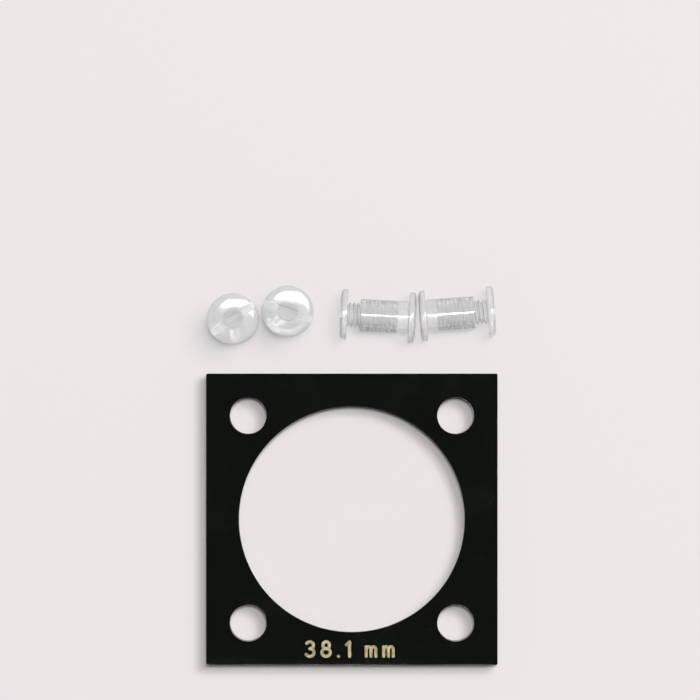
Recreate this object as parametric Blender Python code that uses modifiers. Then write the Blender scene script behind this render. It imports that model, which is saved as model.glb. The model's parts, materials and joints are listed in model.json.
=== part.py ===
"""Acrylic coin holder: a black frame between two clear covers, with four two-piece plastic screws.

The plates lie stacked on the ground with their corner holes open, and the screws lie loose beside
them, each one partly drawn out of its post. +Z is up. The origin is the centre of the back cover's
lower face.
"""

import math

import bpy
import bmesh
from mathutils import Euler, Matrix, Vector

# Plates, in metres
PLATE_SIDE = 0.0500
COVER_THICKNESS = 0.0030
FRAME_THICKNESS = 0.0030
PLATE_GAP = 0.0001
EDGE_CHAMFER = 0.00015

# The coin, and the room round it in the frame's opening
COIN_DIAMETER = 0.0381
COIN_CLEARANCE = 0.00035

# Corner holes, and the web of sheet left between each one and the coin's opening
HOLE_DIAMETER = 0.0063
HOLE_WEB = 0.002623

# Heads of the posts and screws
HEAD_DIAMETER = 0.0088
HEAD_RIM_HEIGHT = 0.0007
HEAD_CROWN_HEIGHT = 0.0005
HEAD_FLAT_DIAMETER = 0.0062
SLOT_WIDTH = 0.0011
SLOT_DEPTH = 0.0006

# Post barrel, which passes through the corner holes and ends below the top cover's face
POST_CLEARANCE = 0.00035
POST_SHORTFALL = 0.0008
POST_CHAMFER = 0.0003

# Thread shared by the screw and its post
THREAD_PITCH = 0.0007
THREAD_DIAMETER = 0.0042
THREAD_DEPTH = 0.00038
THREAD_CREST = 0.00014
THREAD_CLEARANCE = 0.00015
THREAD_LENGTH = 0.0060
BORE_END_ROOM = 0.0005

# How the loose screws lie: the thread left showing, and the row's gaps and turns
SCREW_DRAWN_OUT = 0.0022
SCREW_FREE_ROOM = 0.0002
ROW_INSET = 0.0002
ROW_GAP = 0.0006
ROW_DISTANCE = 0.0050
ROW_STAGGER = (0.0000, 0.0013, 0.0005, 0.0009)
STANDING_TURNS = (math.radians(35), math.radians(-20))
LYING_TURNS = (math.radians(177), math.radians(4))

# Facets of the round forms
COIN_OPENING_SIDES = 72
CORNER_HOLE_SIDES = 24
TURNED_SIDES = 32
THREAD_SIDES = 12
CROWN_STEPS = 3

# How close points are welded, and how far a cutter reaches past what it cuts
MERGE_DISTANCE = 0.000001
CUT_MARGIN = 0.0005

# Sizes that follow from the ones above
COIN_OPENING_DIAMETER = COIN_DIAMETER + 2 * COIN_CLEARANCE
STACK_HEIGHT = 2 * COVER_THICKNESS + FRAME_THICKNESS + 2 * PLATE_GAP
FRAME_BASE = COVER_THICKNESS + PLATE_GAP
FRONT_COVER_BASE = FRAME_BASE + FRAME_THICKNESS + PLATE_GAP
HOLE_REACH = (COIN_OPENING_DIAMETER / 2 + HOLE_WEB + HOLE_DIAMETER / 2) / math.sqrt(2)
HEAD_HEIGHT = HEAD_RIM_HEIGHT + HEAD_CROWN_HEIGHT
BARREL_RADIUS = HOLE_DIAMETER / 2 - POST_CLEARANCE
BARREL_TOP = HEAD_HEIGHT + STACK_HEIGHT - POST_SHORTFALL
BORE_FLOOR = BARREL_TOP - THREAD_LENGTH - BORE_END_ROOM
SCREW_SEAT = BARREL_TOP + SCREW_DRAWN_OUT
SET_LENGTH = SCREW_SEAT + HEAD_HEIGHT
SCREW_TRAVEL_OUT = THREAD_LENGTH - SCREW_DRAWN_OUT + SCREW_FREE_ROOM


def clear_scene():
    """Remove whatever the scene holds."""
    for old in list(bpy.data.objects):
        bpy.data.objects.remove(old, do_unlink=True)


def make_collection(name):
    """Add a collection to the scene."""
    collection = bpy.data.collections.new(name)
    bpy.context.scene.collection.children.link(collection)
    return collection


def make_material(name, colour, roughness, transmission):
    """One Principled material for an acrylic or moulded plastic."""
    material = bpy.data.materials.new(name)
    material.use_nodes = True
    shader = material.node_tree.nodes["Principled BSDF"]
    shader.inputs["Base Color"].default_value = (*colour, 1.0)
    shader.inputs["Roughness"].default_value = roughness
    shader.inputs["Metallic"].default_value = 0.0
    shader.inputs["IOR"].default_value = 1.49
    shader.inputs["Transmission Weight"].default_value = transmission
    return material


def add_object(name, data, collection, material=None, parent=None):
    """Link one object, with its material and the empty that carries it."""
    thing = bpy.data.objects.new(name, data)
    collection.objects.link(thing)
    if material:
        data.materials.clear()
        data.materials.append(material)
    thing.parent = parent
    return thing


def add_ring(curve, points):
    """Add one closed straight-sided outline to a flat curve."""
    ring = curve.splines.new("POLY")
    ring.points.add(len(points) - 1)
    for spot, (x, y) in zip(ring.points, points):
        spot.co = (x, y, 0.0, 1.0)
    ring.use_cyclic_u = True


def circle_points(centre_x, centre_y, diameter, sides):
    """Points round a circle."""
    turns = [2 * math.pi * (side + 0.5) / sides for side in range(sides)]
    radius = diameter / 2
    return [(centre_x + radius * math.cos(turn), centre_y + radius * math.sin(turn)) for turn in turns]


def make_plate(name, base, thickness, opening_diameter, collection, material):
    """Square sheet with four corner holes and, where a diameter is given, a round opening."""
    outline = bpy.data.curves.new(name, "CURVE")
    outline.dimensions = "2D"
    outline.fill_mode = "BOTH"
    half = PLATE_SIDE / 2
    add_ring(outline, [(-half, -half), (half, -half), (half, half), (-half, half)])
    for x in (-HOLE_REACH, HOLE_REACH):
        for y in (-HOLE_REACH, HOLE_REACH):
            add_ring(outline, circle_points(x, y, HOLE_DIAMETER, CORNER_HOLE_SIDES))
    if opening_diameter:
        add_ring(outline, circle_points(0.0, 0.0, opening_diameter, COIN_OPENING_SIDES))
    outline.extrude = thickness / 2 - EDGE_CHAMFER
    outline.bevel_depth = EDGE_CHAMFER
    outline.bevel_resolution = 0
    outline.offset = -EDGE_CHAMFER
    plate = add_object(name, outline, collection, material)
    plate.location = (0.0, 0.0, base + thickness / 2)
    return plate


def profile_mesh(name, points):
    """A chain of edges in the XZ plane, ready to be turned about Z."""
    mesh = bpy.data.meshes.new(name)
    edges = [(index, index + 1) for index in range(len(points) - 1)]
    mesh.from_pydata([(x, 0.0, z) for x, z in points], edges, [])
    return mesh


def turn_profile(thing, sides, pitch=0.0, turns=1):
    """Spin an object's profile about Z, climbing one pitch a turn."""
    screw = thing.modifiers.new("Turned", "SCREW")
    screw.axis = "Z"
    screw.angle = 2 * math.pi
    screw.screw_offset = pitch
    screw.iterations = turns
    screw.steps = sides
    screw.render_steps = sides
    screw.use_smooth_shade = True
    screw.use_merge_vertices = True
    screw.merge_threshold = MERGE_DISTANCE


def head_crown(rim_end, direction):
    """Points of a head's rounded shoulder, from its rim to its flat face."""
    rim_radius = HEAD_DIAMETER / 2
    flat_radius = HEAD_FLAT_DIAMETER / 2
    points = []
    for step in range(CROWN_STEPS + 1):
        turn = math.pi / 2 * step / CROWN_STEPS
        radius = flat_radius + (rim_radius - flat_radius) * math.cos(turn)
        points.append((radius, rim_end + direction * HEAD_CROWN_HEIGHT * math.sin(turn)))
    return points


def post_profile():
    """Outer side of the post, from the barrel's mouth down to the head's flat face."""
    points = [
        (0.0, BARREL_TOP),
        (BARREL_RADIUS - POST_CHAMFER, BARREL_TOP),
        (BARREL_RADIUS, BARREL_TOP - POST_CHAMFER),
        (BARREL_RADIUS, HEAD_HEIGHT),
        (HEAD_DIAMETER / 2, HEAD_HEIGHT),
    ]
    return points + head_crown(HEAD_CROWN_HEIGHT, -1) + [(0.0, 0.0)]


def screw_head_profile():
    """Outer side of the screw's head, from its flat face down to the face that seats on the cover."""
    crown = head_crown(SCREW_SEAT + HEAD_RIM_HEIGHT, 1)
    crown.reverse()
    return [(0.0, SET_LENGTH)] + crown + [(HEAD_DIAMETER / 2, SCREW_SEAT), (0.0, SCREW_SEAT)]


def thread_profile(crest_radius):
    """One pitch of the thread, from top to bottom."""
    root_radius = crest_radius - THREAD_DEPTH
    middle = THREAD_PITCH / 2
    return [
        (root_radius, THREAD_PITCH),
        (crest_radius, middle + THREAD_CREST / 2),
        (crest_radius, middle - THREAD_CREST / 2),
        (root_radius, 0.0),
    ]


def threaded_rod(name, low, high, crest_radius):
    """Closed right-hand threaded rod between two heights, in step with any other rod made here."""
    first = math.floor(low / THREAD_PITCH) - 1
    last = math.ceil(high / THREAD_PITCH) + 1
    helix = add_object(name, profile_mesh(name, thread_profile(crest_radius)), bpy.context.scene.collection)
    turn_profile(helix, THREAD_SIDES, THREAD_PITCH, last - first)
    bpy.context.view_layer.update()
    rod = bmesh.new()
    rod.from_mesh(helix.evaluated_get(bpy.context.evaluated_depsgraph_get()).to_mesh())
    bpy.data.objects.remove(helix, do_unlink=True)
    bmesh.ops.translate(rod, verts=rod.verts, vec=(0.0, 0.0, first * THREAD_PITCH))
    bmesh.ops.remove_doubles(rod, verts=rod.verts, dist=MERGE_DISTANCE)
    for height, outward in ((low, -1.0), (high, 1.0)):
        everything = rod.verts[:] + rod.edges[:] + rod.faces[:]
        bmesh.ops.bisect_plane(
            rod, geom=everything, dist=MERGE_DISTANCE, plane_co=(0.0, 0.0, height),
            plane_no=(0.0, 0.0, outward), clear_outer=True,
        )
    bmesh.ops.holes_fill(rod, edges=[edge for edge in rod.edges if edge.is_boundary], sides=0)
    bmesh.ops.recalc_face_normals(rod, faces=rod.faces)
    mesh = bpy.data.meshes.new(name)
    rod.to_mesh(mesh)
    rod.free()
    return mesh


def slot_mesh(name):
    """Bar that cuts the driver's slot across a screw's head."""
    bar = bmesh.new()
    bmesh.ops.create_cube(bar, size=1.0)
    length = HEAD_DIAMETER + 2 * CUT_MARGIN
    height = SLOT_DEPTH + CUT_MARGIN
    bmesh.ops.scale(bar, verts=bar.verts, vec=(length, SLOT_WIDTH, height))
    bmesh.ops.translate(bar, verts=bar.verts, vec=(0.0, 0.0, SET_LENGTH - SLOT_DEPTH + height / 2))
    mesh = bpy.data.meshes.new(name)
    bar.to_mesh(mesh)
    bar.free()
    return mesh


def add_cutter(name, mesh, collection, parent):
    """Hidden solid that another piece is cut by or joined with."""
    cutter = add_object(name, mesh, collection, parent=parent)
    cutter.hide_render = True
    cutter.display_type = "WIRE"
    return cutter


def combine(thing, operation, other):
    """Cut or join one object by another."""
    step = thing.modifiers.new(other.name, "BOOLEAN")
    step.operation = operation
    step.solver = "EXACT"
    step.object = other


def make_screw_set(number, place, turn, shapes, parts, cutters, material):
    """One post with its screw part way in, carried by an empty on their common axis."""
    axis = add_object(f"set_{number}_axis", None, parts)
    axis.location = place
    axis.rotation_euler = turn
    post = add_object(f"post_{number}", profile_mesh("post", post_profile()), parts, material, axis)
    turn_profile(post, TURNED_SIDES)
    combine(post, "DIFFERENCE", add_cutter(f"post_{number}_bore", shapes["bore"], cutters, axis))
    screw = add_object(f"screw_{number}", profile_mesh("screw", screw_head_profile()), parts, material, axis)
    turn_profile(screw, TURNED_SIDES)
    combine(screw, "UNION", add_cutter(f"screw_{number}_thread", shapes["thread"], cutters, axis))
    combine(screw, "DIFFERENCE", add_cutter(f"screw_{number}_slot", shapes["slot"], cutters, axis))


def make_screw_row(parts, cutters, material):
    """Lay the four screw sets in a row beside the plates: two stand on their posts, two lie down."""
    crest = THREAD_DIAMETER / 2
    shapes = {
        "bore": threaded_rod("bore", BORE_FLOOR, BARREL_TOP + CUT_MARGIN, crest + THREAD_CLEARANCE),
        "thread": threaded_rod("thread", SCREW_SEAT - THREAD_LENGTH, SCREW_SEAT + CUT_MARGIN, crest),
        "slot": slot_mesh("slot"),
    }
    radius = HEAD_DIAMETER / 2
    row_middle = PLATE_SIDE / 2 + ROW_DISTANCE + radius
    x = ROW_INSET - PLATE_SIDE / 2
    for number, turn in enumerate(STANDING_TURNS, 1):
        place = Vector((x + radius, row_middle + ROW_STAGGER[number - 1], 0.0))
        make_screw_set(number, place, Euler((0.0, 0.0, turn)), shapes, parts, cutters, material)
        x += HEAD_DIAMETER + ROW_GAP
    x += SCREW_TRAVEL_OUT
    for number, turn in enumerate(LYING_TURNS, len(STANDING_TURNS) + 1):
        middle = Vector((x + SET_LENGTH / 2, row_middle + ROW_STAGGER[number - 1], radius))
        along = Vector((math.cos(turn), math.sin(turn), 0.0))
        lying = (Matrix.Rotation(turn, 3, "Z") @ Matrix.Rotation(math.pi / 2, 3, "Y")).to_euler()
        place = middle - along * SET_LENGTH / 2
        make_screw_set(number, place, lying, shapes, parts, cutters, material)
        x += SET_LENGTH + ROW_GAP


def main():
    """Build the plates and the screw sets."""
    clear_scene()
    parts = make_collection("coin_holder")
    cutters = make_collection("cutters")
    black_acrylic = make_material("black_acrylic", (0.006, 0.007, 0.006), roughness=0.08, transmission=0.0)
    clear_acrylic = make_material("clear_acrylic", (0.97, 0.98, 0.98), roughness=0.02, transmission=1.0)
    clear_moulding = make_material("clear_moulding", (0.94, 0.95, 0.96), roughness=0.08, transmission=1.0)
    make_plate("back_cover", 0.0, COVER_THICKNESS, 0.0, parts, clear_acrylic)
    make_plate("coin_frame", FRAME_BASE, FRAME_THICKNESS, COIN_OPENING_DIAMETER, parts, black_acrylic)
    make_plate("front_cover", FRONT_COVER_BASE, COVER_THICKNESS, 0.0, parts, clear_acrylic)
    make_screw_row(parts, cutters, clear_moulding)


main()
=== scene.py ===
"""Looks of the acrylic coin holder: polished sheets with cut edges, gold foil and moulded clear screws."""

import json
import math
import random

import bmesh
import bpy
from mathutils import Matrix, Vector


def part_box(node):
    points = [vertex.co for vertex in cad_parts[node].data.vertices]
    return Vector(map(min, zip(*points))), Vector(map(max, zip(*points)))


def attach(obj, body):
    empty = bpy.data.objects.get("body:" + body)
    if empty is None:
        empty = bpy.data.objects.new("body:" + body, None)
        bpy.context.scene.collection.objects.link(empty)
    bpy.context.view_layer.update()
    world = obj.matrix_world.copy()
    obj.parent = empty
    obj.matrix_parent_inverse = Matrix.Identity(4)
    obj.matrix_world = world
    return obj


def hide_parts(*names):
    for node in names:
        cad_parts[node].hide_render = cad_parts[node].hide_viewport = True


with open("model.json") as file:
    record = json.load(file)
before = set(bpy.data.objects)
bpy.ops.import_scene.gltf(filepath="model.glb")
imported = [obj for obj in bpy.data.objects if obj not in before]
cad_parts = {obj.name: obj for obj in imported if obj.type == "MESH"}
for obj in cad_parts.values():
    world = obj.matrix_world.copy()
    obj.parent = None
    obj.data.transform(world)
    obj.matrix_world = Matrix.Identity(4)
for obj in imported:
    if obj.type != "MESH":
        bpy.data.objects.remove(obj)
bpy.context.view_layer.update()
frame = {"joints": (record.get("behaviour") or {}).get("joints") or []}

MM = 0.001

# Plates: the outline and thickness come from the solids, the holes and edges from here
HOLE_DIAMETER = 6.3 * MM
HOLE_REACH = 17.8 * MM
COIN_OPENING_DIAMETER = 38.8 * MM
EDGE_ROUND = 0.06 * MM
EDGE_STEPS = 2
CORNER_ROUND = 0.25 * MM
CORNER_STEPS = 5
COIN_OPENING_SIDES = 160
CORNER_HOLE_SIDES = 64
SHEET_CREASE = math.radians(50)

# Height of a face's normal: above the first it is a sheet's flat face, below the second a cut edge
FLAT_FACE_LIMIT = 0.9999
CUT_EDGE_LIMIT = 0.5

# Two-piece screws, measured along their axis from the outer face of the post's head
SET_COUNT = 4
HEAD_DIAMETER = 8.8 * MM
HEAD_FLAT_DIAMETER = 6.2 * MM
HEAD_RIM_HEIGHT = 0.7 * MM
HEAD_CROWN_HEIGHT = 0.5 * MM
HEAD_HEIGHT = HEAD_RIM_HEIGHT + HEAD_CROWN_HEIGHT
HEAD_EDGE_ROUND = 0.08 * MM
BARREL_RADIUS = 2.8 * MM
BARREL_TOP = 9.6 * MM
BARREL_LIP_ROUND = 0.3 * MM
BARREL_ROOT_ROUND = 0.2 * MM
SCREW_SEAT = 11.8 * MM
SET_LENGTH = SCREW_SEAT + HEAD_HEIGHT

# Slots, how far each of the two standing sets is turned, and how upright an axis counts as standing
SLOT_WIDTH = 1.1 * MM
SLOT_DEPTH = 0.6 * MM
SLOT_FLARE = 0.12 * MM
SLOT_TURNS = (math.radians(35), math.radians(-20))
STANDING_LIMIT = 0.5

# Threads: the flat at the root and the flank are shares of half a pitch
THREAD_PITCH = 0.7 * MM
THREAD_RADIUS = 2.1 * MM
THREAD_DEPTH = 0.38 * MM
THREAD_ROOT_FLAT = 0.08
THREAD_FLANK = 0.72
THREAD_CLEARANCE = 0.15 * MM
THREAD_LENGTH = 6.0 * MM
THREAD_TAPER = 0.6 * MM
THREAD_TIP_INSET = 0.2 * MM
BORE_DEPTH = 6.5 * MM
BORE_FLARE = 0.25 * MM
BORE_FLARE_SLOPE = 1.5

# What the mould leaves: a ridge along the barrel, and a gate dimple in the post's head with a stub in it
PARTING_RIDGE = 0.015 * MM
PARTING_REACH = 0.005 * MM
GATE_RADIUS = 0.9 * MM
GATE_DEPTH = 0.1 * MM
GATE_STUB_FOOT_RADIUS = 0.225 * MM
GATE_STUB_TIP_RADIUS = 0.18 * MM
GATE_STUB_TIP_DEPTH = 0.03 * MM

# How far a cutting tool reaches past what it cuts, and how close points are welded
CUT_MARGIN = 0.5 * MM
MERGE_DISTANCE = 0.0005 * MM

# How finely the screws are drawn
TURNED_SIDES = 96
THREAD_SIDES = 48
THREAD_POINTS = 12
CROWN_STEPS = 10
FILLET_STEPS = 6
SMALL_ROUND_STEPS = 4
MOULDING_CREASE = math.radians(40)

# Foil size mark under the opening: gaps are shares of its height, unevenness is a share of a stroke's width
MARK_TEXT = "38.1 mm"
MARK_CENTRE = Vector((-0.4 * MM, -22.3 * MM))
MARK_HEIGHT = 2.5 * MM
MARK_STROKE = 0.52 * MM
MARK_UNEVEN = 0.05
MARK_SEED = 7
MARK_GAP = 0.54
MARK_WORD_GAP = 0.6
MARK_RISE = 0.02 * MM
MARK_SINK = 0.01 * MM
MARK_EDGE_ROUND = 0.008 * MM
MARK_EDGE_STEPS = 0
MARK_STEP = 0.08 * MM
MARK_ARC_STEPS = 20
MARK_END_STEPS = 10

# Finishes: how large each pattern is, how deep it goes, and which way the hairlines run, in radians
ACRYLIC_IOR = 1.49
HAZE_PATCH = 7 * MM
RUBBED_PATCH = 9 * MM
HAIRLINE_WIDTH = 0.12 * MM
HAIRLINE_LENGTH = 14 * MM
HAIRLINE_DEPTH = 0.01 * MM
CLEAR_HAIRLINE_TURN = 0.6
BLACK_HAIRLINE_TURN = -0.4
SAW_LINE_SPACING = 0.35 * MM
SAW_LINE_LENGTH = 12 * MM
CLEAR_SAW_LINE_DEPTH = 0.02 * MM
BLACK_SAW_LINE_DEPTH = 0.03 * MM
FOIL_STREAK_WIDTH = 0.35 * MM
FOIL_STREAK_LENGTH = 1.3 * MM
FOIL_STREAK_DEPTH = 0.02 * MM
FLOW_RIPPLE_WIDTH = 2.2 * MM
FLOW_RIPPLE_DEPTH = 0.05 * MM

# How much of the moulded plastic is clear; the rest of it is milky
POST_CLARITY = 0.76
SCREW_CLARITY = 0.72

# Sockets of a colour Mix node, whose names repeat for every kind of value
MIX_SHARE = 0
MIX_FIRST = 6
MIX_SECOND = 7
MIX_RESULT = 2

# The photograph's frame, in its own pixels, and the lens it is matched with
PHOTO_SIDE_PX = 700.0
PLATE_SIDE_PX = 291.0
PLATE_CENTRE_PX = Vector((351.84, 519.1))
LENS_MM = 600.0
SENSOR_MM = 36.0

# Studio, in metres: each lamp's share of the light on the floor, its lean from straight up and its width
FLOOR_RADIUS = 4.0
FLOOR_SIDES = 64
FLOOR_DROP = 0.05 * MM
LAMP_DISTANCE = 2.4
KEY_SHARE = 0.50
KEY_LEAN = Vector((0.24, 0.22))
KEY_SIDE = 0.70
OVERHEAD_SHARE = 0.44
OVERHEAD_LEAN = Vector((0.01, 0.08))
OVERHEAD_SIDE = 0.20

# Surroundings: the fill on matt surfaces, and what gloss and glass see low down and overhead
SKY_FILL = 0.08
SKY_HORIZON = 0.85
SKY_HORIZON_TOP = math.radians(2)
SKY_OVERHEAD = 0.02
SKY_OVERHEAD_FROM = math.radians(22)


def linear(hex_colour):
    """Turn an sRGB hex value into linear red, green, blue and alpha."""
    shares = [int(hex_colour[place:place + 2], 16) / 255 for place in (1, 3, 5)]
    return [c / 12.92 if c <= 0.04045 else ((c + 0.055) / 1.055) ** 2.4 for c in shares] + [1.0]


def add_node(tree, kind, inputs=None, **settings):
    """Add one node, with its settings, and its inputs as plain values or as other nodes' outputs."""
    node = tree.nodes.new("ShaderNode" + kind)
    for name, value in settings.items():
        setattr(node, name, value)
    for name, value in (inputs or {}).items():
        if isinstance(value, bpy.types.NodeSocket):
            tree.links.new(value, node.inputs[name])
        else:
            node.inputs[name].default_value = value
    return node


def new_material(name):
    """An empty node material and its tree."""
    material = bpy.data.materials.new(name)
    material.use_nodes = True
    material.node_tree.nodes.clear()
    return material, material.node_tree


def per(size):
    """Texture scale for a pattern whose cells are this many metres wide."""
    return 1.0 / size


def let_lamps_through(tree, plastic, shade):
    """Give clear plastic a light shadow: lamps and floor light pass it, a little dimmed."""
    path = add_node(tree, "LightPath")
    veil = add_node(tree, "BsdfTransparent", {"Color": linear(shade)})
    lamp_side = add_node(
        tree, "MixShader", {0: path.outputs["Is Shadow Ray"], 1: plastic, 2: veil.outputs[0]}
    )
    floor_side = add_node(
        tree, "MixShader", {0: path.outputs["Is Diffuse Ray"], 1: lamp_side.outputs[0], 2: veil.outputs[0]}
    )
    return floor_side.outputs[0]


def handling_haze(tree, place, low, high):
    """Roughness that drifts with finger haze, in patches a few millimetres wide."""
    patches = add_node(
        tree, "TexNoise", {"Vector": place, "Scale": per(HAZE_PATCH), "Detail": 4.0, "Roughness": 0.6}
    )
    return add_node(
        tree, "MapRange",
        {"Value": patches.outputs[0], "From Min": 0.45, "From Max": 0.75, "To Min": low, "To Max": high},
    ).outputs[0]


def hairlines(tree, place, turn):
    """Height of fine rubbing scratches along one direction, drawn wider than real ones so that they show."""
    stretch = (per(HAIRLINE_WIDTH), per(HAIRLINE_LENGTH), per(HAIRLINE_LENGTH))
    laid = add_node(tree, "Mapping", {"Vector": place, "Rotation": (0.0, 0.0, turn), "Scale": stretch})
    grain = add_node(tree, "TexNoise", {"Vector": laid.outputs[0], "Scale": 1.0, "Detail": 1.0})
    return add_node(
        tree, "MapRange", {"Value": grain.outputs[0], "From Min": 0.70, "From Max": 0.76}
    ).outputs[0]


def saw_lines(tree, place):
    """Height of the cutter's marks on a cut edge: lines that run through the sheet's thickness."""
    stretch = (per(SAW_LINE_SPACING), per(SAW_LINE_SPACING), per(SAW_LINE_LENGTH))
    laid = add_node(tree, "Mapping", {"Vector": place, "Scale": stretch})
    return add_node(tree, "TexNoise", {"Vector": laid.outputs[0], "Scale": 1.0, "Detail": 2.0}).outputs[0]


def clear_cast_acrylic():
    """Cast acrylic sheet, polished: colourless and glassy, with faint finger haze and rubbing hairlines.

    The specular tint softens its own reflection, so that what lies under it keeps its colour.
    """
    material, tree = new_material("clear_cast_acrylic")
    place = add_node(tree, "TexCoord").outputs["Object"]
    rubbing = hairlines(tree, place, CLEAR_HAIRLINE_TURN)
    scratches = add_node(tree, "Bump", {"Height": rubbing, "Strength": 0.01, "Distance": HAIRLINE_DEPTH})
    plastic = add_node(
        tree, "BsdfPrincipled",
        {
            "Base Color": linear("#FFFFFF"), "Roughness": handling_haze(tree, place, 0.0, 0.02),
            "IOR": ACRYLIC_IOR, "Specular Tint": linear("#BCBCBC"), "Transmission Weight": 1.0,
            "Normal": scratches.outputs[0],
        },
    )
    surface = let_lamps_through(tree, plastic.outputs[0], "#FFFFFF")
    add_node(tree, "OutputMaterial", {"Surface": surface})
    return material


def clear_sanded_edge():
    """Sawn and sanded edge of the clear sheet: satin, blurring what lies behind, with faint cutter lines."""
    material, tree = new_material("clear_sanded_edge")
    place = add_node(tree, "TexCoord").outputs["Object"]
    marks = saw_lines(tree, place)
    lines = add_node(tree, "Bump", {"Height": marks, "Strength": 0.15, "Distance": CLEAR_SAW_LINE_DEPTH})
    plastic = add_node(
        tree, "BsdfPrincipled",
        {
            "Base Color": linear("#FBFCFC"), "Roughness": handling_haze(tree, place, 0.38, 0.48),
            "IOR": ACRYLIC_IOR, "Transmission Weight": 1.0, "Normal": lines.outputs[0],
        },
    )
    surface = let_lamps_through(tree, plastic.outputs[0], "#F7F8F8")
    add_node(tree, "OutputMaterial", {"Surface": surface})
    return material


def black_cast_acrylic():
    """Black cast acrylic sheet, polished: deep neutral black with a glassy skin and faint rubbed patches."""
    material, tree = new_material("black_cast_acrylic")
    place = add_node(tree, "TexCoord").outputs["Object"]
    patches = add_node(tree, "TexNoise", {"Vector": place, "Scale": per(RUBBED_PATCH), "Detail": 5.0})
    rubbed = add_node(tree, "MapRange", {"Value": patches.outputs[0], "From Min": 0.52, "From Max": 0.72})
    colour = add_node(
        tree, "Mix",
        {MIX_SHARE: rubbed.outputs[0], MIX_FIRST: linear("#0D100D"), MIX_SECOND: linear("#111411")},
        data_type="RGBA",
    )
    rubbing = hairlines(tree, place, BLACK_HAIRLINE_TURN)
    scratches = add_node(tree, "Bump", {"Height": rubbing, "Strength": 0.02, "Distance": HAIRLINE_DEPTH})
    sheet = add_node(
        tree, "BsdfPrincipled",
        {
            "Base Color": colour.outputs[MIX_RESULT], "Roughness": handling_haze(tree, place, 0.015, 0.035),
            "IOR": ACRYLIC_IOR, "Specular IOR Level": 0.2, "Normal": scratches.outputs[0],
        },
    )
    add_node(tree, "OutputMaterial", {"Surface": sheet.outputs[0]})
    return material


def black_cut_edge():
    """Sawn edge of the black sheet: greyer and satin, with fine lines across its thickness."""
    material, tree = new_material("black_cut_edge")
    place = add_node(tree, "TexCoord").outputs["Object"]
    marks = saw_lines(tree, place)
    colour = add_node(
        tree, "Mix", {MIX_SHARE: marks, MIX_FIRST: linear("#141614"), MIX_SECOND: linear("#2A2C2A")},
        data_type="RGBA",
    )
    lines = add_node(tree, "Bump", {"Height": marks, "Strength": 0.4, "Distance": BLACK_SAW_LINE_DEPTH})
    edge = add_node(
        tree, "BsdfPrincipled",
        {
            "Base Color": colour.outputs[MIX_RESULT], "Roughness": 0.34, "IOR": ACRYLIC_IOR,
            "Normal": lines.outputs[0],
        },
    )
    add_node(tree, "OutputMaterial", {"Surface": edge.outputs[0]})
    return material


def gold_hot_foil():
    """Gold foil stamped hot into plastic: pale satin gold, streaked where the die pressed unevenly."""
    material, tree = new_material("gold_hot_foil")
    place = add_node(tree, "TexCoord").outputs["Object"]
    stretch = (per(FOIL_STREAK_WIDTH), per(FOIL_STREAK_LENGTH), per(MM))
    laid = add_node(tree, "Mapping", {"Vector": place, "Scale": stretch})
    streaks = add_node(tree, "TexNoise", {"Vector": laid.outputs[0], "Scale": 1.0, "Detail": 3.0})
    spread = add_node(tree, "MapRange", {"Value": streaks.outputs[0], "From Min": 0.35, "From Max": 0.68})
    colour = add_node(
        tree, "Mix",
        {MIX_SHARE: spread.outputs[0], MIX_FIRST: linear("#6E644D"), MIX_SECOND: linear("#8E856C")},
        data_type="RGBA",
    )
    grain = add_node(
        tree, "Bump", {"Height": streaks.outputs[0], "Strength": 0.3, "Distance": FOIL_STREAK_DEPTH}
    )
    foil = add_node(
        tree, "BsdfPrincipled",
        {
            "Base Color": colour.outputs[MIX_RESULT], "Metallic": 1.0, "Roughness": 0.72,
            "Normal": grain.outputs[0],
        },
    )
    add_node(tree, "OutputMaterial", {"Surface": foil.outputs[0]})
    return material


def clear_moulding(name, clarity):
    """Clear plastic, injection moulded: bright and slightly milky, with soft flow ripples from the mould."""
    material, tree = new_material(name)
    place = add_node(tree, "TexCoord").outputs["Object"]
    flow = add_node(tree, "TexNoise", {"Vector": place, "Scale": per(FLOW_RIPPLE_WIDTH), "Detail": 2.0})
    ripple = add_node(
        tree, "Bump", {"Height": flow.outputs[0], "Strength": 0.08, "Distance": FLOW_RIPPLE_DEPTH}
    )
    plastic = add_node(
        tree, "BsdfPrincipled",
        {
            "Base Color": linear("#FEFEFE"), "Roughness": handling_haze(tree, place, 0.02, 0.07),
            "IOR": ACRYLIC_IOR, "Transmission Weight": clarity, "Normal": ripple.outputs[0],
        },
    )
    surface = let_lamps_through(tree, plastic.outputs[0], "#EDEEEF")
    add_node(tree, "OutputMaterial", {"Surface": surface})
    return material


def matt_pale_card():
    """Uncoated card for the floor: even pale grey with hardly any gloss."""
    material, tree = new_material("matt_pale_card")
    card = add_node(tree, "BsdfPrincipled", {"Base Color": linear("#EBE6E6"), "Roughness": 0.8})
    add_node(tree, "OutputMaterial", {"Surface": card.outputs[0]})
    return material


def add_piece(name, mesh, materials):
    """Link one mesh object with its materials."""
    piece = bpy.data.objects.new(name, mesh)
    bpy.context.scene.collection.objects.link(piece)
    for material in materials:
        mesh.materials.append(material)
    return piece


def finished_mesh(name, thing):
    """Take an object's evaluated shape as a welded mesh and remove the object."""
    bpy.context.view_layer.update()
    depsgraph = bpy.context.evaluated_depsgraph_get()
    mesh = bpy.data.meshes.new_from_object(thing.evaluated_get(depsgraph))
    bpy.data.objects.remove(thing, do_unlink=True)
    mesh.name = name
    work = bmesh.new()
    work.from_mesh(mesh)
    bmesh.ops.remove_doubles(work, verts=work.verts, dist=MERGE_DISTANCE)
    work.to_mesh(mesh)
    work.free()
    return mesh


def shade_piece(piece, angle):
    """Smooth shading that keeps flat faces flat and edges sharper than an angle crisp."""
    piece.data.shade_smooth()
    piece.data.set_sharp_from_angle(angle=angle)
    even = piece.modifiers.new("flat faces stay flat", "WEIGHTED_NORMAL")
    even.keep_sharp = True


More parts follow.
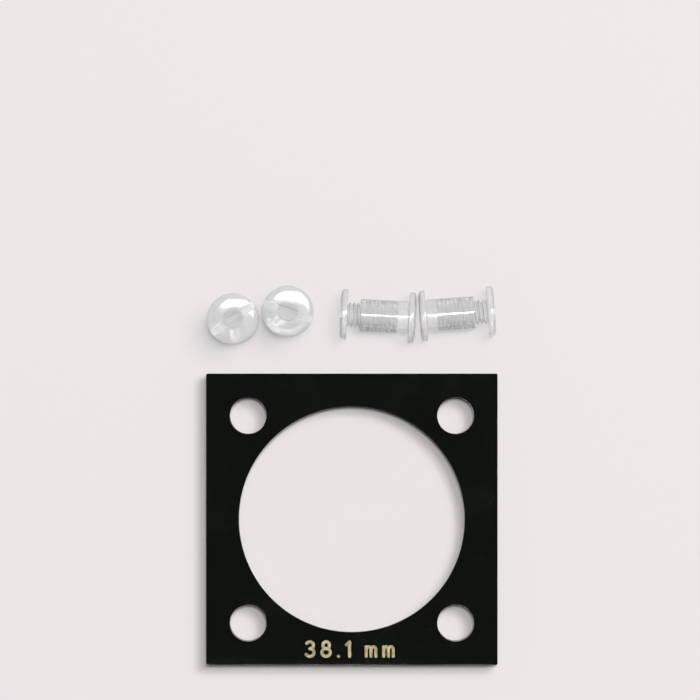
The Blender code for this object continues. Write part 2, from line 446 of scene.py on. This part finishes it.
def split_flat_faces(mesh):
    """Crease a plate round its two flat faces, so that long thin triangles there shade truly flat."""
    work = bmesh.new()
    work.from_mesh(mesh)
    for edge in work.edges:
        level = {abs(face.normal.z) > FLAT_FACE_LIMIT for face in edge.link_faces}
        if len(level) > 1:
            edge.smooth = False
    work.to_mesh(mesh)
    work.free()


def circle_points(centre_x, centre_y, diameter, sides):
    """Points round a circle."""
    turns = [2 * math.pi * side / sides for side in range(sides)]
    return [(centre_x + diameter / 2 * math.cos(a), centre_y + diameter / 2 * math.sin(a)) for a in turns]


def rounded_square(half):
    """Outline of a sheet whose corners are just broken."""
    points = []
    for quarter in range(4):
        corner = Matrix.Rotation(math.pi / 2 * quarter, 2) @ Vector((half - CORNER_ROUND,) * 2)
        for step in range(CORNER_STEPS + 1):
            turn = math.pi / 2 * (quarter + step / CORNER_STEPS)
            x = corner.x + CORNER_ROUND * math.cos(turn)
            y = corner.y + CORNER_ROUND * math.sin(turn)
            points.append((x, y))
    return points


def add_ring(curve, points):
    """Add one closed outline to a flat curve."""
    ring = curve.splines.new("POLY")
    ring.points.add(len(points) - 1)
    for spot, (x, y) in zip(ring.points, points):
        spot.co = (x, y, 0.0, 1.0)
    ring.use_cyclic_u = True


def flat_plate(name, outlines, thickness, edge_round, edge_steps):
    """A flat plate with rounded edges, centred on its own middle plane, from closed outlines."""
    curve = bpy.data.curves.new(name, "CURVE")
    curve.dimensions = "2D"
    curve.fill_mode = "BOTH"
    for points in outlines:
        add_ring(curve, points)
    curve.extrude = thickness / 2 - edge_round
    curve.bevel_depth = edge_round
    curve.bevel_resolution = edge_steps
    # The bevel swells the outline by its own depth, so the outline is first drawn in by as much
    curve.offset = -edge_round
    blank = bpy.data.objects.new(name, curve)
    bpy.context.scene.collection.objects.link(blank)
    return finished_mesh(name, blank)


def make_sheet(name, node, slot, opening_diameter, face_material, edge_material):
    """One plate in the place of its solid; its cut edges take their own finish."""
    low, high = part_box(node)
    outlines = [rounded_square((high.x - low.x) / 2)]
    for x in (-HOLE_REACH, HOLE_REACH):
        for y in (-HOLE_REACH, HOLE_REACH):
            outlines.append(circle_points(x, y, HOLE_DIAMETER, CORNER_HOLE_SIDES))
    if opening_diameter:
        outlines.append(circle_points(0.0, 0.0, opening_diameter, COIN_OPENING_SIDES))
    mesh = flat_plate(name, outlines, high.z - low.z, EDGE_ROUND, EDGE_STEPS)
    mesh.transform(Matrix.Translation((low + high) / 2))
    sheet = add_piece(name, mesh, [face_material, edge_material])
    for face in mesh.polygons:
        face.material_index = 1 if abs(face.normal.z) < CUT_EDGE_LIMIT else 0
    shade_piece(sheet, SHEET_CREASE)
    split_flat_faces(mesh)
    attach(sheet, node)
    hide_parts(node)


def turned(name, points, sides, pitch=0.0, turns=1):
    """Spin a chain of (radius, height) points about Z into a mesh, climbing one pitch a turn."""
    chain = bpy.data.meshes.new(name)
    chain.from_pydata([(r, 0.0, z) for r, z in points], [(i, i + 1) for i in range(len(points) - 1)], [])
    blank = add_piece(name, chain, [])
    spin = blank.modifiers.new("spin", "SCREW")
    spin.angle = 2 * math.pi
    spin.steps = sides
    spin.render_steps = sides
    spin.screw_offset = pitch
    spin.iterations = turns
    spin.use_merge_vertices = True
    spin.merge_threshold = MERGE_DISTANCE
    return finished_mesh(name, blank)


def arc(centre_r, centre_z, radius_r, radius_z, start, end, steps):
    """Points of an elliptic arc in a turned profile, angles in degrees from straight out."""
    turns = [math.radians(start + (end - start) * step / steps) for step in range(steps + 1)]
    return [(centre_r + radius_r * math.cos(a), centre_z + radius_z * math.sin(a)) for a in turns]


def thread_height(share):
    """Height of the rounded thread form across one pitch, from 0 at the root to 1 at the crest."""
    ramp = min(max((1 - abs(2 * share - 1) - THREAD_ROOT_FLAT) / THREAD_FLANK, 0.0), 1.0)
    return ramp * ramp * (3 - 2 * ramp)


def threaded_rod(name, low, high, crest, limit):
    """Closed right-hand threaded rod; limit gives the radius a point is held to at its height."""
    first = math.floor(low / THREAD_PITCH) - 1
    last = math.ceil(high / THREAD_PITCH) + 1
    root = crest - THREAD_DEPTH
    shares = [1 - step / THREAD_POINTS for step in range(THREAD_POINTS + 1)]
    profile = [(root + THREAD_DEPTH * thread_height(s), s * THREAD_PITCH) for s in shares]
    mesh = turned(name, profile, THREAD_SIDES, THREAD_PITCH, last - first)
    rod = bmesh.new()
    rod.from_mesh(mesh)
    bmesh.ops.translate(rod, verts=rod.verts, vec=(0.0, 0.0, first * THREAD_PITCH))
    for height, outward in ((low, -1.0), (high, 1.0)):
        whole = rod.verts[:] + rod.edges[:] + rod.faces[:]
        bmesh.ops.bisect_plane(
            rod, geom=whole, dist=MERGE_DISTANCE, plane_co=(0.0, 0.0, height),
            plane_no=(0.0, 0.0, outward), clear_outer=True,
        )
    for vert in rod.verts:
        radius = vert.co.xy.length
        vert.co.xy *= limit(radius, vert.co.z) / radius
    bmesh.ops.holes_fill(rod, edges=[edge for edge in rod.edges if edge.is_boundary], sides=0)
    bmesh.ops.recalc_face_normals(rod, faces=rod.faces)
    rod.to_mesh(mesh)
    rod.free()
    return mesh


def boolean(name, body, *steps):
    """Cut and join one mesh by others, in order."""
    blank = add_piece(name, body, [])
    tools = []
    for operation, mesh in steps:
        tool = add_piece(name + "_tool", mesh, [])
        change = blank.modifiers.new(operation, "BOOLEAN")
        change.operation = operation
        change.object = tool
        tools.append(tool)
    mesh = finished_mesh(name, blank)
    for tool in tools:
        bpy.data.objects.remove(tool, do_unlink=True)
    return mesh


def head_crown(rim_end, direction):
    """Profile of a head from the end of its rim over the crown to its flat face."""
    rim = HEAD_DIAMETER / 2
    flat = HEAD_FLAT_DIAMETER / 2
    return arc(flat, rim_end, rim - flat, direction * HEAD_CROWN_HEIGHT, 0, 90, CROWN_STEPS)


def raise_parting_ridge(body):
    """Lift the barrel's points on the mould's parting plane, which leaves a fine ridge on either side."""
    for vert in body.vertices:
        on_barrel = abs(vert.co.xy.length - BARREL_RADIUS) < PARTING_REACH
        if on_barrel and abs(vert.co.y) < PARTING_REACH:
            vert.co.x += math.copysign(PARTING_RIDGE, vert.co.x)


def post_mesh():
    """Post: a head with a shallow gate mark, and a barrel with a threaded bore."""
    lip = BARREL_LIP_ROUND
    fillet = BARREL_ROOT_ROUND
    edge = HEAD_EDGE_ROUND
    rim = HEAD_DIAMETER / 2
    profile = [(0.0, BARREL_TOP)]
    profile += arc(BARREL_RADIUS - lip, BARREL_TOP - lip, lip, lip, 90, 0, FILLET_STEPS)
    profile += arc(BARREL_RADIUS + fillet, HEAD_HEIGHT + fillet, fillet, fillet, 180, 270, FILLET_STEPS)
    profile += arc(rim - edge, HEAD_HEIGHT - edge, edge, edge, 90, 0, SMALL_ROUND_STEPS)
    profile += head_crown(HEAD_CROWN_HEIGHT, -1)
    profile += arc(GATE_RADIUS, GATE_DEPTH, GATE_DEPTH, GATE_DEPTH, -90, -180, SMALL_ROUND_STEPS)
    profile.append((GATE_STUB_FOOT_RADIUS, GATE_DEPTH))
    profile.append((GATE_STUB_TIP_RADIUS, GATE_STUB_TIP_DEPTH))
    profile.append((0.0, GATE_STUB_TIP_DEPTH))
    body = turned("post", profile, TURNED_SIDES)
    raise_parting_ridge(body)
    crest = THREAD_RADIUS + THREAD_CLEARANCE
    flare_from = BARREL_TOP - BORE_FLARE

    def flared(radius, height):
        if height <= flare_from:
            return radius
        return max(radius, crest - THREAD_DEPTH + (height - flare_from) * BORE_FLARE_SLOPE)

    bore = threaded_rod("bore", BARREL_TOP - BORE_DEPTH, BARREL_TOP + CUT_MARGIN / 2, crest, flared)
    return boolean("post", body, ("DIFFERENCE", bore))


def slot_cutter():
    """Bar across a screw's head, flared where it leaves the flat face."""
    half_length = HEAD_DIAMETER / 2 + CUT_MARGIN
    half_width = SLOT_WIDTH / 2
    floor = SET_LENGTH - SLOT_DEPTH
    top = SET_LENGTH + CUT_MARGIN
    flare = SLOT_FLARE + CUT_MARGIN
    section = [
        (-half_width, floor), (half_width, floor), (half_width, SET_LENGTH - SLOT_FLARE),
        (half_width + flare, top), (-half_width - flare, top), (-half_width, SET_LENGTH - SLOT_FLARE),
    ]
    bar = bmesh.new()
    ends = [[bar.verts.new((x, y, z)) for y, z in section] for x in (-half_length, half_length)]
    bar.faces.new(ends[0])
    bar.faces.new(ends[1])
    for index in range(len(section)):
        after = (index + 1) % len(section)
        bar.faces.new((ends[0][index], ends[0][after], ends[1][after], ends[1][index]))
    bmesh.ops.recalc_face_normals(bar, faces=bar.faces)
    mesh = bpy.data.meshes.new("slot")
    bar.to_mesh(mesh)
    bar.free()
    return mesh


def screw_mesh():
    """Screw: a slotted head and a thread that tapers in at its tip."""
    edge = HEAD_EDGE_ROUND
    rim = HEAD_DIAMETER / 2
    crown = head_crown(SCREW_SEAT + HEAD_RIM_HEIGHT, 1)
    profile = [(0.0, SET_LENGTH)] + crown[::-1]
    profile += arc(rim - edge, SCREW_SEAT + edge, edge, edge, 0, -90, SMALL_ROUND_STEPS)
    profile.append((0.0, SCREW_SEAT))
    head = turned("screw", profile, TURNED_SIDES)
    tip = SCREW_SEAT - THREAD_LENGTH
    narrow = THREAD_RADIUS - THREAD_DEPTH - THREAD_TIP_INSET

    def tapered(radius, height):
        return min(radius, narrow + (height - tip) * (THREAD_RADIUS - narrow) / THREAD_TAPER)

    thread = threaded_rod("thread", tip, SCREW_SEAT + CUT_MARGIN / 2, THREAD_RADIUS, tapered)
    return boolean("screw", head, ("UNION", thread), ("DIFFERENCE", slot_cutter()))


def set_matrix(number):
    """Where a screw set lies: the post's joint gives its foot, and the way back along its axis."""
    joint = next(j for j in frame["joints"] if j["name"] == f"post_{number}_turn")
    along = -Vector(joint["axis"])
    place = Matrix.Translation(Vector(joint["pos_m"]))
    if abs(along.z) > STANDING_LIMIT:
        return place @ Matrix.Rotation(SLOT_TURNS[number - 1], 4, "Z")
    heading = math.atan2(along.y, along.x)
    return place @ Matrix.Rotation(heading, 4, "Z") @ Matrix.Rotation(math.pi / 2, 4, "Y")


def make_screw_sets():
    """The four posts and screws, each riding its own body."""
    kinds = {
        "post": (post_mesh(), clear_moulding("clear_moulded_post", POST_CLARITY)),
        "screw": (screw_mesh(), clear_moulding("clear_moulded_screw", SCREW_CLARITY)),
    }
    for number in range(1, SET_COUNT + 1):
        for kind, (shape, material) in kinds.items():
            node = f"{kind}_{number}"
            placed = shape.copy()
            placed.transform(set_matrix(number))
            piece = add_piece(f"moulded_{node}", placed, [material])
            shade_piece(piece, MOULDING_CREASE)
            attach(piece, node)
            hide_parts(node)


def sign_arc(x, y, radius_x, radius_y, start, end):
    """Points along an arc of a sign, angles in degrees."""
    sweep = end - start
    turns = [math.radians(start + sweep * step / MARK_ARC_STEPS) for step in range(MARK_ARC_STEPS + 1)]
    return [Vector((x + radius_x * math.cos(a), y + radius_y * math.sin(a))) for a in turns]


def figure_signs():
    """Figures of the size mark as (width, strokes), in shares of its height, with their feet at zero."""
    waist = 0.53
    upper = (1 - waist) / 2
    lower = waist / 2
    bowl = 0.29
    three_middle = 0.28
    three_top = 0.25
    three = [
        sign_arc(three_middle, 1 - upper, three_top, upper, 150, -90),
        sign_arc(three_middle, lower, bowl, lower, 90, -150),
    ]
    eight_top = 0.23
    eight = [
        sign_arc(bowl, 1 - upper, eight_top, upper, 0, 360),
        sign_arc(bowl, lower, bowl, lower, 0, 360),
    ]
    stem = 0.22
    flag_foot = 0.78
    head = Vector((stem, 1.0))
    one = [[Vector((0.0, flag_foot)), head], [head, Vector((stem, 0.0))]]
    return {"3": (three_middle + bowl, three), "8": (2 * bowl, eight), "1": (stem, one)}


def small_signs():
    """Decimal point, letter and space of the size mark, given as the figures are."""
    dot = 0.02
    point = [[Vector((0.0, 0.0)), Vector((dot, 0.0))]]
    small_height = 0.66
    arch_width = 0.33
    arch_rise = 0.2
    em = [[Vector((0.0, small_height)), Vector((0.0, 0.0))]]
    for start in (0.0, arch_width):
        end = start + arch_width
        arch = sign_arc((start + end) / 2, small_height - arch_rise, arch_width / 2, arch_rise, 180, 0)
        em.append(arch + [Vector((end, 0.0))])
    return {".": (dot, point), "m": (2 * arch_width, em), " ": (MARK_WORD_GAP - MARK_GAP, [])}


def evenly_spaced(points, step):
    """Points along a chain at about equal steps."""
    spaced = [points[0]]
    for start, end in zip(points, points[1:]):
        count = max(1, round((end - start).length / step))
        spaced += [start.lerp(end, (index + 1) / count) for index in range(count)]
    return spaced


def stroke_sides(points, closed, dice):
    """Points left and right of a chain at half a stroke's width, slightly uneven as stamped foil is."""
    left = []
    right = []
    for index, spot in enumerate(points):
        before = points[index - 1] if closed or index else spot
        after = points[(index + 1) % len(points)] if closed or index + 1 < len(points) else spot
        along = (after - before).normalized()
        half = MARK_STROKE / 2 * (1 + dice.uniform(-MARK_UNEVEN, MARK_UNEVEN))
        side = Vector((-along.y, along.x)) * half
        left.append(spot + side)
        right.append(spot - side)
    return left, right


def round_end(spot, along):
    """Half circle round a stroke's end, from its left side over to its right."""
    side = Vector((-along.y, along.x))
    turns = [math.pi * step / MARK_END_STEPS for step in range(1, MARK_END_STEPS)]
    return [spot + (side * math.cos(a) + along * math.sin(a)) * MARK_STROKE / 2 for a in turns]


def stroke_outlines(points, dice):
    """Closed outlines of one stroke: two rings for a closed loop, or one with round ends."""
    closed = (points[0] - points[-1]).length < MERGE_DISTANCE
    spaced = evenly_spaced(points, MARK_STEP)
    if closed:
        return stroke_sides(spaced[:-1], True, dice)
    left, right = stroke_sides(spaced, False, dice)
    start = (spaced[0] - spaced[1]).normalized()
    end = (spaced[-1] - spaced[-2]).normalized()
    return [left + round_end(spaced[-1], end) + right[::-1] + round_end(spaced[0], start)]


def make_size_mark(text, material):
    """Stamp the coin size in foil below the opening."""
    signs = figure_signs() | small_signs()
    widths = [signs[sign][0] for sign in text]
    x = -(sum(widths) + MARK_GAP * (len(text) - 1)) / 2
    dice = random.Random(MARK_SEED)
    strokes = []
    for sign, width in zip(text, widths):
        # Signs reach from 0 to 1, so half of that brings their middle to the mark's centre
        shift = Vector((x, -0.5))
        for stroke in signs[sign][1]:
            placed = [MARK_CENTRE + (spot + shift) * MARK_HEIGHT for spot in stroke]
            outlines = stroke_outlines(placed, dice)
            thickness = MARK_RISE + MARK_SINK
            strokes.append(flat_plate("stroke", outlines, thickness, MARK_EDGE_ROUND, MARK_EDGE_STEPS))
        x += width + MARK_GAP
    mesh = boolean("foil_size_mark", strokes[0], *[("UNION", stroke) for stroke in strokes[1:]])
    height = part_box("coin_frame")[1].z + (MARK_RISE - MARK_SINK) / 2
    mesh.transform(Matrix.Translation((0.0, 0.0, height)))
    mark = add_piece("foil_size_mark", mesh, [material])
    shade_piece(mark, SHEET_CREASE)
    split_flat_faces(mesh)
    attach(mark, "coin_frame")


def make_floor():
    """A wide pale disc just under the part."""
    work = bmesh.new()
    bmesh.ops.create_circle(work, cap_ends=True, segments=FLOOR_SIDES, radius=FLOOR_RADIUS)
    mesh = bpy.data.meshes.new("floor")
    work.to_mesh(mesh)
    work.free()
    floor = add_piece("floor", mesh, [matt_pale_card()])
    floor.location.z = -FLOOR_DROP


def make_sky():
    """Surroundings: a faint even fill on matt surfaces; gloss and glass see pale walls and a dark ceiling."""
    world = bpy.data.worlds.new("studio")
    bpy.context.scene.world = world
    world.use_nodes = True
    tree = world.node_tree
    tree.nodes.clear()
    direction = add_node(tree, "TexCoord").outputs["Generated"]
    height = add_node(tree, "SeparateXYZ", {"Vector": direction}).outputs["Z"]
    level = add_node(
        tree, "MapRange",
        {
            "Value": height, "From Min": math.sin(SKY_HORIZON_TOP), "From Max": math.sin(SKY_OVERHEAD_FROM),
            "To Min": SKY_HORIZON, "To Max": SKY_OVERHEAD,
        },
        interpolation_type="SMOOTHSTEP",
    )
    seen = add_node(tree, "Background", {"Color": linear("#FFFFFF"), "Strength": level.outputs[0]})
    fill = add_node(tree, "Background", {"Color": linear("#FFFFFF"), "Strength": SKY_FILL})
    path = add_node(tree, "LightPath")
    glow = add_node(
        tree, "MixShader", {0: path.outputs["Is Diffuse Ray"], 1: seen.outputs[0], 2: fill.outputs[0]}
    )
    add_node(tree, "OutputWorld", {"Surface": glow.outputs[0]})


def make_lamp(name, share, lean, side):
    """One square soft box that faces the part and gives the floor a share of full light."""
    direction = Vector((*lean, 1.0)).normalized()
    lamp_data = bpy.data.lights.new(name, "AREA")
    lamp_data.shape = "SQUARE"
    lamp_data.size = side
    # A lamp's power spreads over pi times its distance squared, and a matt floor's light over pi again
    lamp_data.energy = share * math.pi ** 2 * LAMP_DISTANCE ** 2 / direction.z
    lamp = bpy.data.objects.new(name, lamp_data)
    bpy.context.scene.collection.objects.link(lamp)
    lamp.location = direction * LAMP_DISTANCE
    lamp.rotation_euler = direction.to_track_quat("Z", "Y").to_euler()


def make_camera():
    """Look straight down with a long lens, framed as the photograph is."""
    low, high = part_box("coin_frame")
    metres_per_px = (high.x - low.x) / PLATE_SIDE_PX
    offset = Vector((PHOTO_SIDE_PX / 2, PHOTO_SIDE_PX / 2)) - PLATE_CENTRE_PX
    camera_data = bpy.data.cameras.new("camera")
    camera_data.lens = LENS_MM
    camera_data.sensor_width = SENSOR_MM
    camera = bpy.data.objects.new("camera", camera_data)
    bpy.context.scene.collection.objects.link(camera)
    distance = PHOTO_SIDE_PX * metres_per_px * LENS_MM / SENSOR_MM
    camera.location = (offset.x * metres_per_px, -offset.y * metres_per_px, high.z + distance)
    bpy.context.scene.camera = camera


def make_sheets():
    """The black frame with the coin opening, between its two clear covers."""
    clear = (clear_cast_acrylic(), clear_sanded_edge())
    black = (black_cast_acrylic(), black_cut_edge())
    make_sheet("sheet_back_cover", "back_cover", "clear_acrylic", None, *clear)
    make_sheet("sheet_coin_frame", "coin_frame", "black_acrylic", COIN_OPENING_DIAMETER, *black)
    make_sheet("sheet_front_cover", "front_cover", "clear_acrylic", None, *clear)


def make_studio():
    """Floor, surroundings and two lamps, shown with plain colours."""
    make_floor()
    make_sky()
    make_lamp("key", KEY_SHARE, KEY_LEAN, KEY_SIDE)
    make_lamp("overhead", OVERHEAD_SHARE, OVERHEAD_LEAN, OVERHEAD_SIDE)
    bpy.context.scene.view_settings.view_transform = "Standard"


make_camera()
make_sheets()
make_size_mark(MARK_TEXT, gold_hot_foil())
make_screw_sets()
make_studio()
